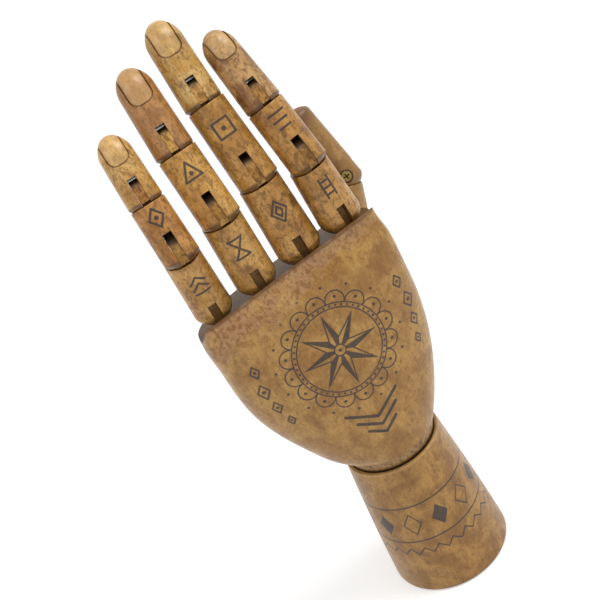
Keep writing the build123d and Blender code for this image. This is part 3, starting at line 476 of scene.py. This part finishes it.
# the rim along the knuckles, rubbed and bruised in a ragged band about a centimetre wide
in_row = add_node(
    tree,
    "Mapping",
    {"Vector": where, "Location": row_middle, "Rotation": (0.0, row_tilt, 0.0)},
    vector_type="TEXTURE",
)
row_spot = add_node(tree, "SeparateXYZ", {"Vector": in_row})
ragged = add_node(
    tree,
    "TexNoise",
    {"Vector": where, "Scale": 0.1, "Detail": 6.0, "Roughness": 0.65, "Distortion": 0.6},
)
ragged = add_node(
    tree, "MapRange", {"Value": ragged, "From Min": 0.3, "From Max": 0.7, "To Max": 18.0}
)
drop = add_node(tree, "Math", {0: row_spot.outputs["Z"], 1: ragged}, operation="ADD")
towards_thumb = add_node(
    tree, "Math", {0: row_spot.outputs["X"], 1: -0.12, 2: drop}, operation="MULTIPLY_ADD"
)
rubbed = add_node(
    tree,
    "MapRange",
    {"Value": towards_thumb, "From Min": -5.0, "From Max": 1.5, "To Max": 0.55},
    interpolation_type="SMOOTHSTEP",
)
rubbed = add_node(tree, "Math", {0: rubbed, 1: on_back}, operation="MULTIPLY")
bruises = add_node(
    tree,
    "MapRange",
    {"Value": mottles, "From Min": 0.42, "From Max": 0.6},
    interpolation_type="SMOOTHSTEP",
)
rubbed_tone = add_node(
    tree, "MixRGB", {"Fac": bruises, "Color1": linear("B48C6A"), "Color2": linear("7C5234")}
)
wood = add_node(tree, "MixRGB", {"Fac": rubbed, "Color1": wood, "Color2": rubbed_tone})
# a pale line along the knuckle rim: chipped wear, partly a painted highlight on its edge
chipped_rim_sheen = line_at(tree, towards_thumb, -3.6, 0.0)
chipped_rim_sheen = add_node(
    tree, "MapRange", {"Value": chipped_rim_sheen, "From Min": 0.8, "From Max": 0.1, "To Max": 0.35}
)
chipped_rim_sheen = add_node(tree, "Math", {0: chipped_rim_sheen, 1: on_back}, operation="MULTIPLY")
wood = add_node(tree, "MixRGB", {"Fac": chipped_rim_sheen, "Color1": wood, "Color2": linear("D0AC80")})
# painted shade in the trough, on its lip, on its floor between the fingers' feet and at the mouth
# of the wrist; a darker stain on the ball below the palm
trough_depth = add_node(tree, "Math", {0: row_spot.outputs["Z"], 1: 0.0}, operation="MINIMUM")
trough_depth = add_node(tree, "CombineXYZ", {"Y": row_spot.outputs["Y"], "Z": trough_depth})
from_row = add_node(tree, "VectorMath", {0: trough_depth}, operation="LENGTH").outputs["Value"]
# painted shade inside the trough where the knuckles sit
trough_shade = add_node(
    tree,
    "MapRange",
    {"Value": from_row, "From Min": trough_wall + 0.3, "From Max": trough_wall - 0.1},
)
wood = add_node(tree, "MixRGB", {"Fac": trough_shade, "Color1": wood, "Color2": linear("3E2A18")})
# painted shade on the trough's lip
lip_shade = add_node(
    tree,
    "MapRange",
    {"Value": row_spot.outputs["Z"], "From Min": -4.6, "From Max": -3.7, "To Max": 0.7},
)
wood = add_node(tree, "MixRGB", {"Fac": lip_shade, "Color1": wood, "Color2": linear("5A3C24")})
# painted shade on the trough's floor between the fingers' feet
ledge_shade = add_node(tree, "Math", {0: row_spot.outputs["Y"], 1: -5.0}, operation="GREATER_THAN")
ledge_shade_top = add_node(
    tree,
    "MapRange",
    {"Value": row_spot.outputs["Z"], "From Min": -12.6, "From Max": -11.8, "To Max": 0.8},
)
ledge_shade = add_node(tree, "Math", {0: ledge_shade, 1: ledge_shade_top}, operation="MULTIPLY")
wood = add_node(tree, "MixRGB", {"Fac": ledge_shade, "Color1": wood, "Color2": linear("54402C")})
from_ball = add_node(
    tree, "VectorMath", {0: where, 1: (0.0, 0.0, wrist_ball_height)}, operation="DISTANCE"
)
on_ball = add_node(
    tree,
    "MapRange",
    {
        "Value": from_ball.outputs["Value"],
        "From Min": wrist_ball_radius + 1.2,
        "From Max": wrist_ball_radius + 0.1,
        "To Max": 0.85,
    },
)
ball_stain = add_node(
    tree, "MixRGB", {"Fac": bruises, "Color1": linear("A47C46"), "Color2": linear("644424")}
)
below_palm = add_node(tree, "Math", {0: height, 1: palm_foot}, operation="LESS_THAN")
on_ball = add_node(tree, "Math", {0: on_ball, 1: below_palm}, operation="MULTIPLY")
wood = add_node(tree, "MixRGB", {"Fac": on_ball, "Color1": wood, "Color2": ball_stain})
# painted shade where the ball goes into the forearm's cup
cup_mouth_shade = add_node(
    tree, "MapRange", {"Value": height, "From Min": 78.2, "From Max": 76.6, "To Max": 0.9}
)
wood = add_node(tree, "MixRGB", {"Fac": cup_mouth_shade, "Color1": wood, "Color2": linear("3E2A18")})
varnish(tree, wood, grain, mottles)
give(palm_wood, "palm")

# Fingers: each is three turned beech phalanges, whose round lower ends are slotted for a flat
# tongue. The stain is thick and mottled, and painted shade darkens the slots and seams. The last
# piece has a nail cut as a fine line, and the others have a small sign drawn on them.
finger_mottle = 0.66
slot_half_width = 2.1
slot_end = 4.45
joint_radii = {"little": (8.3, 7.9), "ring": (9.1, 8.8), "middle": (9.3, 8.6), "index": (8.8, 8.4)}
joint_rises = (0.98, 0.80)
piece_lengths = {
    "little": (35.3, 25.4, 24.7),
    "ring": (37.5, 31.8, 31.7),
    "middle": (40.4, 36.7, 31.6),
    "index": (33.6, 29.1, 29.9),
}
nail_sizes = {
    "little": (10.0, 14.0),
    "ring": (11.0, 17.2),
    "middle": (11.0, 17.0),
    "index": (10.2, 14.4),
}
last_fold = math.radians(5)
tones = {
    "little_proximal": ("D6A45A", "B68238", "704822"),
    "little_middle": ("CC9450", "A8702E", "66421E"),
    "little_distal": ("D8AC64", "BF8E42", "7A5024"),
    "ring_proximal": ("D8A65A", "B8843A", "6C4620"),
    "ring_middle": ("D6A456", "B68038", "704A24"),
    "ring_distal": ("B8844A", "A8743E", "7A5228"),
    "middle_proximal": ("D4A258", "B07A34", "5E3C1C"),
    "middle_middle": ("C89850", "B07E36", "6E4A24"),
    "middle_distal": ("D6AE68", "C09246", "6C4822"),
    "index_proximal": ("D09C54", "AA7834", "5C3C1C"),
    "index_middle": ("C8964C", "A67232", "5C3C1A"),
    "index_distal": ("C89C62", "8E5E2C", "523216"),
}
# half of each sign, mirrored about the middle of the finger: strokes in millimetres from its centre
signs = {
    "little_proximal": [((0, 4), (3.4, 1)), ((0, 0.8), (3.4, -2.2)), ((0, -4), (3.2, -4))],
    "little_middle": [((0, 4.2), (3.2, 0)), ((3.2, 0), (0, -4.2)), ((0, 0), (0, 0))],
    "ring_proximal": [
        ((0, 4.4), (3.2, 4.4)),
        ((0, 0), (3.2, 4.4)),
        ((0, 0), (3.2, -4.4)),
        ((0, -4.4), (3.2, -4.4)),
    ],
    "ring_middle": [((0, 4.6), (3.9, -3)), ((0, -3), (3.9, -3)), ((0, -0.6), (0, -0.6))],
    "middle_proximal": [
        ((0, 5), (3.6, 0)),
        ((3.6, 0), (0, -5)),
        ((0, 2.4), (1.6, 0)),
        ((1.6, 0), (0, -2.4)),
    ],
    "middle_middle": [
        ((0, 3.6), (3.6, 3.6)),
        ((3.6, 3.6), (3.6, -3.6)),
        ((0, -3.6), (3.6, -3.6)),
        ((0, 0), (0, 0)),
    ],
    "index_proximal": [
        ((2, -4.6), (2, 4.6)),
        ((0, -3), (2, -3)),
        ((0, 0), (2, 0)),
        ((0, 3), (2, 3)),
    ],
    "index_middle": [((0, 3.4), (3.6, 3.4)), ((0, 0), (3.2, 0)), ((0, -3.4), (2.6, -3.4))],
}
joint_of = {joint["name"]: joint for joint in frame["joints"]}


def hinge_place(joint, towards):
    """A piece's own frame: its hinge is the origin and the X, and the Z runs along the piece."""
    across = -Vector(joint_of[joint]["axis"]).normalized()
    along = (towards - across * towards.dot(across)).normalized()
    turned = Matrix((across, along.cross(across), along)).transposed()
    return Matrix.Translation(joint_of[joint]["pos_m"]) @ turned.to_4x4()


def paint_slot_shade(tree, wood, spot, slot_end):
    """Painted shade inside a hinge's slot, darkest towards the slot's end."""
    side = line_at(tree, spot.outputs["X"], 0.0, slot_half_width)
    up = add_node(tree, "Math", {0: spot.outputs["Z"], 1: slot_end}, operation="SUBTRACT")
    inside = add_node(tree, "Math", {0: side, 1: up}, operation="MAXIMUM")
    inside = add_node(tree, "MapRange", {"Value": inside, "From Min": 0.1, "From Max": -0.1})
    slot_shade_depth = add_node(
        tree,
        "MapRange",
        {
            "Value": spot.outputs["Z"],
            "From Min": -3.0,
            "From Max": 1.5,
            "To Min": 0.3,
            "To Max": 0.92,
        },
    )
    inside = add_node(tree, "Math", {0: inside, 1: slot_shade_depth}, operation="MULTIPLY")
    return add_node(tree, "MixRGB", {"Fac": inside, "Color1": wood, "Color2": linear("2A1A10")})


seed = 10.0
for finger in ("little", "ring", "middle", "index"):
    joints = [finger + "_knuckle", finger + "_middle_joint", finger + "_end_joint"]
    places = [Vector(joint_of[joint]["pos_m"]) for joint in joints]
    middle_run = (places[2] - places[1]).normalized()
    across = -Vector(joint_of[joints[2]]["axis"]).normalized()
    straight = (middle_run - across * middle_run.dot(across)).normalized()
    last_run = Matrix.Rotation(-last_fold, 3, across) @ straight
    runs = [places[1] - places[0], middle_run, last_run]
    for order, part in enumerate(("proximal", "middle", "distal")):
        node = finger + "_" + part
        seed += 5
        material, tree, where, wood, grain, mottles = stained_beech(
            node + "_mottled_beech",
            hinge_place(joints[order], runs[order]),
            seed,
            *tones[node],
            finger_mottle,
        )
        spot = add_node(tree, "SeparateXYZ", {"Vector": where})
        length = piece_lengths[finger][order]
        on_back = add_node(tree, "Math", {0: spot.outputs["Y"], 1: 0.0}, operation="LESS_THAN")
        if part == "distal":
            # the nail: paler inside, partly a painted highlight, with dark stain left in its line
            width, nail_length = nail_sizes[finger]
            corner = 0.4 * width
            side = add_node(tree, "Math", {0: spot.outputs["X"]}, operation="ABSOLUTE")
            side = add_node(tree, "Math", {0: side, 1: width / 2 - corner}, operation="SUBTRACT")
            down = add_node(
                tree,
                "Math",
                {0: length - nail_length + corner, 1: spot.outputs["Z"]},
                operation="SUBTRACT",
            )
            round_corner = add_node(
                tree,
                "VectorMath",
                {0: add_node(tree, "CombineXYZ", {"X": side, "Z": down}), 1: (0.0, 0.0, 0.0)},
                operation="MAXIMUM",
            )
            outside = add_node(tree, "VectorMath", {0: round_corner}, operation="LENGTH")
            inside = add_node(tree, "Math", {0: side, 1: down}, operation="MAXIMUM")
            inside = add_node(tree, "Math", {0: inside, 1: 0.0}, operation="MINIMUM")
            nail = add_node(tree, "Math", {0: outside.outputs["Value"], 1: inside}, operation="ADD")
            nail = add_node(tree, "Math", {0: nail, 1: corner}, operation="SUBTRACT")
            nail_plate_sheen = add_node(
                tree, "MapRange", {"Value": nail, "From Min": 0.0, "From Max": -1.0, "To Max": 0.35}
            )
            nail_plate_sheen = add_node(tree, "Math", {0: nail_plate_sheen, 1: on_back}, operation="MULTIPLY")
            wood = add_node(
                tree, "MixRGB", {"Fac": nail_plate_sheen, "Color1": wood, "Color2": linear("D2AC74")}
            )
            cut = line_at(tree, nail, -0.4, 0.15)
            cut = add_node(
                tree, "MapRange", {"Value": cut, "From Min": 0.2, "From Max": -0.1, "To Max": 0.6}
            )
            cut = add_node(tree, "Math", {0: cut, 1: on_back}, operation="MULTIPLY")
            wood = add_node(
                tree, "MixRGB", {"Fac": cut, "Color1": wood, "Color2": linear("4A2C18")}
            )
        else:
            # the sign, half way between the slot and the seam above
            seam = length - joint_radii[finger][order] * joint_rises[order]
            side = add_node(tree, "Math", {0: spot.outputs["X"]}, operation="ABSOLUTE")
            up = add_node(
                tree, "Math", {0: spot.outputs["Z"], 1: (slot_end + seam) / 2}, operation="SUBTRACT"
            )
            mirrored = add_node(tree, "CombineXYZ", {"X": side, "Z": up})
            strokes = [(start, end, 0.5 if start != end else 1.0) for start, end in signs[node]]
            drawn = kept_to(tree, on_back, pen_strokes(tree, mirrored, strokes))
            wood = inked(tree, wood, drawn, mottles)
        if order:
            # painted shade along the seam, where the round end comes out of the dish below
            seam = -joint_radii[finger][order - 1] * joint_rises[order - 1]
            seam_shade = add_node(
                tree,
                "MapRange",
                {
                    "Value": spot.outputs["Z"],
                    "From Min": seam + 1.0,
                    "From Max": seam + 0.1,
                    "To Max": 0.7,
                },
            )
            wood = add_node(
                tree, "MixRGB", {"Fac": seam_shade, "Color1": wood, "Color2": linear("4A2C18")}
            )
        wood = paint_slot_shade(tree, wood, spot, slot_end)
        varnish(tree, wood, grain, mottles)
        give(material, node)
        if part != "distal":
            # the tongue glued into this piece's top: sawn beech, with painted shade where the slot
            # hides it
            material, tree, where, wood, grain, mottles = stained_beech(
                node + "_tongue_beech",
                hinge_place(joints[order + 1], runs[order]),
                seed + 2,
                *tones[node],
                0.75,
            )
            spot = add_node(tree, "SeparateXYZ", {"Vector": where})
            tongue_shade = add_node(
                tree,
                "MapRange",
                {"Value": spot.outputs["Z"], "From Min": -0.5, "From Max": 2.5, "To Max": 0.92},
            )
            wood = add_node(
                tree, "MixRGB", {"Fac": tongue_shade, "Color1": wood, "Color2": linear("22150C")}
            )
            varnish(tree, wood, grain, mottles, 0.6, 0.0)
            give(material, node + "_tongue")

# Thumb: three turned beech pieces with a duller olive-brown stain. The lowest lies on the front of
# the palm, and the last bends at a screw. The last piece has no nail, and its tip is darker.
thumb_screw_ring = 2.8
thumb_joints = ("thumb_swing", "thumb_fold", "thumb_hinge")
thumb_places = [Vector(joint_of[joint]["pos_m"]) for joint in thumb_joints]
thumb_run = thumb_places[2] - thumb_places[1]
thumb_bend = math.radians(29)
thumb_across = -Vector(joint_of["thumb_hinge"]["axis"]).normalized()
straight = (thumb_run - thumb_across * thumb_run.dot(thumb_across)).normalized()
thumb_last_run = Matrix.Rotation(-thumb_bend, 3, thumb_across) @ straight
thumb_runs = (thumb_places[1] - thumb_places[0], thumb_run, thumb_last_run)
thumb_pieces = ("thumb_metacarpal", "thumb_proximal", "thumb_distal")
for node, joint, run in zip(thumb_pieces, thumb_joints, thumb_runs):
    seed += 5
    material, tree, where, wood, grain, mottles = stained_beech(
        node + "_dull_beech", hinge_place(joint, run), seed, "B68E54", "9C743C", "68482A", 0.36
    )
    spot = add_node(tree, "SeparateXYZ", {"Vector": where})
    if node == "thumb_distal":
        # the tip darker towards its end
        darker_tip = add_node(
            tree,
            "MapRange",
            {"Value": spot.outputs["Z"], "From Min": 27.0, "From Max": 34.0, "To Max": 0.8},
            interpolation_type="SMOOTHSTEP",
        )
        wood = add_node(tree, "MixRGB", {"Fac": darker_tip, "Color1": wood, "Color2": linear("6E4C30")})
        # painted shade in the ring round the screw's head, where it sits in its recess
        off_axis = add_node(
            tree, "VectorMath", {0: where, 1: (0.0, 1.0, 1.0)}, operation="MULTIPLY"
        )
        off_axis = add_node(tree, "VectorMath", {0: off_axis}, operation="LENGTH").outputs["Value"]
        ring = line_at(tree, off_axis, thumb_screw_ring, 0.3)
        ring = add_node(
            tree, "MapRange", {"Value": ring, "From Min": 0.25, "From Max": -0.1, "To Max": 0.85}
        )
        near_head = add_node(tree, "Math", {0: spot.outputs["X"], 1: -3.0}, operation="LESS_THAN")
        ring = add_node(tree, "Math", {0: ring, 1: near_head}, operation="MULTIPLY")
        wood = add_node(tree, "MixRGB", {"Fac": ring, "Color1": wood, "Color2": linear("2A1A10")})
    if node != "thumb_metacarpal":
        wood = paint_slot_shade(tree, wood, spot, slot_end)
    varnish(tree, wood, grain, mottles, 0.42)
    give(material, node)

# Thumb tongues and knuckle links: flat beech plates 4 mm thick, sawn with round ends for the pins.
# They show at the bottom of their slots, dull, in a pale tone that is partly painted light there.
brightened_tongue_wood, tree, where, wood, grain, mottles = stained_beech(
    "sawn_beech_painted_light", Matrix(), 90.0, "DCB478", "C49658", "8A6034", 0.4
)
varnish(tree, wood, grain, mottles, 0.55, 0.0)
tongues = ["thumb_metacarpal_tongue", "thumb_proximal_tongue"]
for finger in ("little", "ring", "middle", "index"):
    tongues.append(finger + "_knuckle_link")
give(brightened_tongue_wood, *tongues)

# Thumb screws: countersunk brass screws with a cross recess, one at the thumb's hinge and one that
# the thumb swings on. Brown tarnish about 1 mm wide dulls the heads. Each is named with its hinge
# and with how far out its flat face lies.
for screw, joint, run, face in (
    ("thumb_hinge_screw", "thumb_hinge", thumb_runs[2], -6.6),
    ("thumb_base_screw", "thumb_swing", thumb_runs[0], -9.1),
):
    brass = bpy.data.materials.new(screw + "_tarnished_brass")
    brass.use_nodes = True
    tree = brass.node_tree
    shader = tree.nodes["Principled BSDF"]
    where = point_in(tree, hinge_place(joint, run))
    tarnish = add_node(tree, "TexNoise", {"Vector": where, "Scale": 0.9, "Detail": 3.0})
    tone = add_node(
        tree, "MixRGB", {"Fac": tarnish, "Color1": linear("6E5C34"), "Color2": linear("BCA468")}
    )
    # painted shade in the recess, which lies behind the head's flat face
    inwards = add_node(tree, "SeparateXYZ", {"Vector": where}).outputs["X"]
    recess_shade = add_node(
        tree,
        "MapRange",
        {"Value": inwards, "From Min": face + 0.05, "From Max": face + 0.25, "To Max": 0.9},
    )
    tone = add_node(tree, "MixRGB", {"Fac": recess_shade, "Color1": tone, "Color2": linear("2E2212")})
    dulled = add_node(tree, "MapRange", {"Value": tarnish, "To Min": 0.5, "To Max": 0.25})
    tree.links.new(tone.outputs[0], shader.inputs["Base Color"])
    tree.links.new(dulled.outputs[0], shader.inputs["Roughness"])
    shader.inputs["Metallic"].default_value = 1.0
    give(brass, screw)

# Floor: a plain white sheet under the foot that keeps the hand's soft shadow. To the camera it
# also glows a little, and more where it is far from the lamps, so that it is white away from the
# shadow.
floor_reach = 4.0


def shown(tree):
    """One for what the camera or a reflection shows, and zero for what lights the hand."""
    path = add_node(tree, "LightPath")
    share = path.outputs["Is Camera Ray"]
    for ray in ("Is Glossy Ray", "Is Transmission Ray"):
        share = add_node(tree, "Math", {0: share, 1: path.outputs[ray]}, operation="MAXIMUM")
    return share


floor_mesh = bpy.data.meshes.new("floor")
corners = [(-1, -1), (1, -1), (1, 1), (-1, 1)]
corners = [(floor_reach * across, floor_reach * along, 0.0) for across, along in corners]
floor_mesh.from_pydata(corners, [], [(0, 1, 2, 3)])
floor = bpy.data.objects.new("floor", floor_mesh)
bpy.context.scene.collection.objects.link(floor)
floor_white = bpy.data.materials.new("white_sheet")
floor_white.use_nodes = True
tree = floor_white.node_tree
shader = tree.nodes["Principled BSDF"]
shader.inputs["Base Color"].default_value = linear("F4F4F4")
shader.inputs["Roughness"].default_value = 0.9
from_foot = add_node(
    tree, "VectorMath", {0: add_node(tree, "TexCoord").outputs["Object"]}, operation="LENGTH"
).outputs["Value"]
glow = add_node(
    tree,
    "MapRange",
    {"Value": from_foot, "From Min": 0.5, "From Max": 1.4, "To Min": 0.36, "To Max": 0.6},
)
glow = add_node(tree, "Math", {0: shown(tree), 1: glow}, operation="MULTIPLY")
tree.links.new(glow.outputs[0], shader.inputs["Emission Strength"])
shader.inputs["Emission Color"].default_value = (1, 1, 1, 1)
floor.data.materials.append(floor_white)

# Lights: a large soft key lamp above the middle of the picture and a weaker fill lamp on its left,
# in a white room that lights the hand at half of what it shows.
for name, side, lift, back, level_share, size in (
    ("key_light", 0.1, 0.75, 0.42, 0.64, 0.45),
    ("fill_light", -0.6, 0.1, 0.5, 0.26, 0.4),
):
    place = camera_target + camera_right * side + camera_up * lift - forward * back
    lamp = bpy.data.objects.new(name, bpy.data.lights.new(name, "AREA"))
    lamp.data.size = size
    away = place - camera_target
    lamp.data.energy = level_share * math.pi**2 * away.length_squared
    facing = away.to_track_quat("Z", "Y").to_matrix().to_4x4()
    lamp.matrix_world = Matrix.Translation(place) @ facing
    bpy.context.scene.collection.objects.link(lamp)
world = bpy.data.worlds.new("studio")
world.use_nodes = True
tree = world.node_tree
strength = add_node(tree, "MapRange", {"Value": shown(tree), "To Min": 0.5, "To Max": 1.0})
tree.links.new(strength.outputs[0], tree.nodes["Background"].inputs["Strength"])
tree.nodes["Background"].inputs["Color"].default_value = (1, 1, 1, 1)
bpy.context.scene.world = world
bpy.context.scene.view_settings.view_transform = "Standard"
